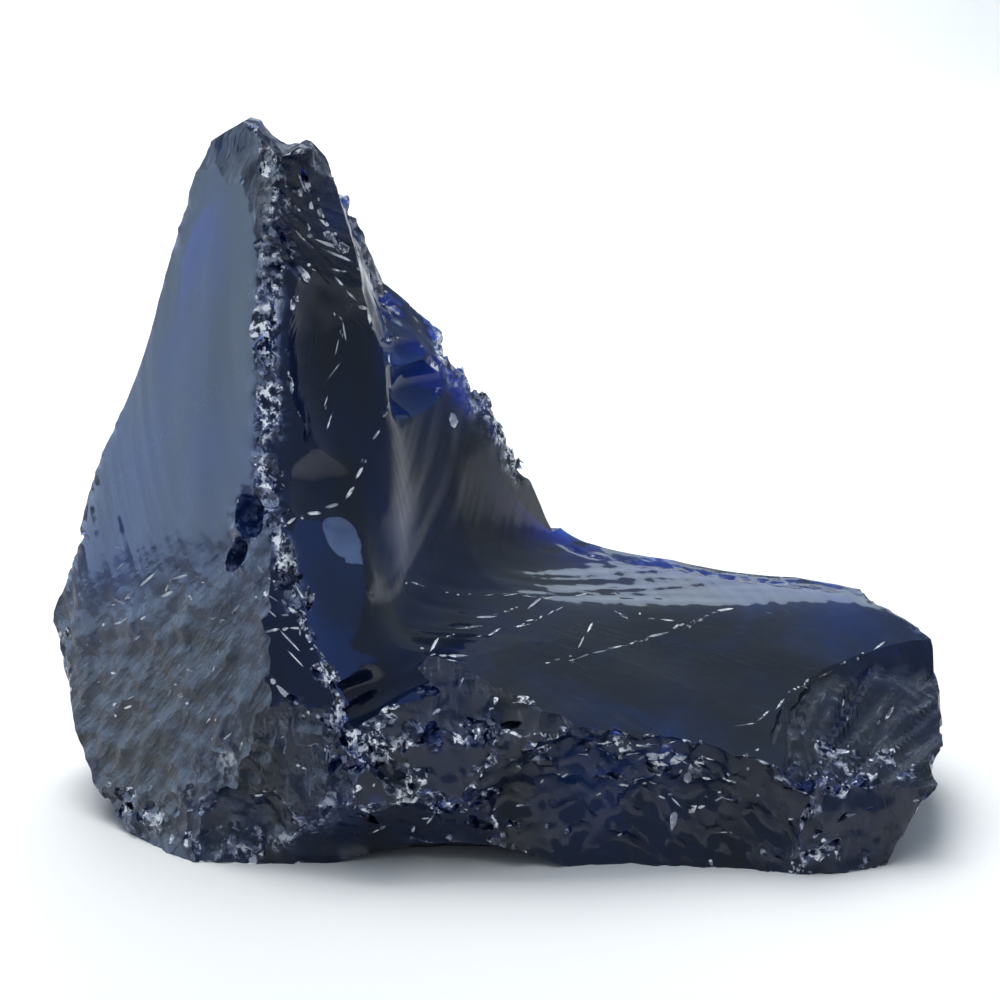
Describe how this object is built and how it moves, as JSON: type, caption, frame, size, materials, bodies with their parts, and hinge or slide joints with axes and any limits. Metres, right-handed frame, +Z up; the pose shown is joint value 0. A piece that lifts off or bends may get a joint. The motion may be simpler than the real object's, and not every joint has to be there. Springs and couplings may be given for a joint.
{
  "type": "slag glass chunk",
  "caption": "Rough broken chunk of dark blue slag glass with a tall pointed horn over a long low foot, all curved shell-like fracture faces and chipped edges.",
  "frame": {"origin": "middle of the flat underside that the chunk rests on, near the centre of its outline", "axes": "+X along the long low foot, from the horn towards the foot's end; -Y towards the side with the chipped spine; +Z up through the horn"},
  "size_m": [0.1136, 0.0546, 0.0876],
  "materials": {
    "cobalt_glass": "fire-bright conchoidal fracture, dark cobalt, frosted on the hackled faces and chipped edges"
  },
  "bodies": {
    "root": {"glass_chunk": "cobalt_glass"}
  },
  "joints": []
}
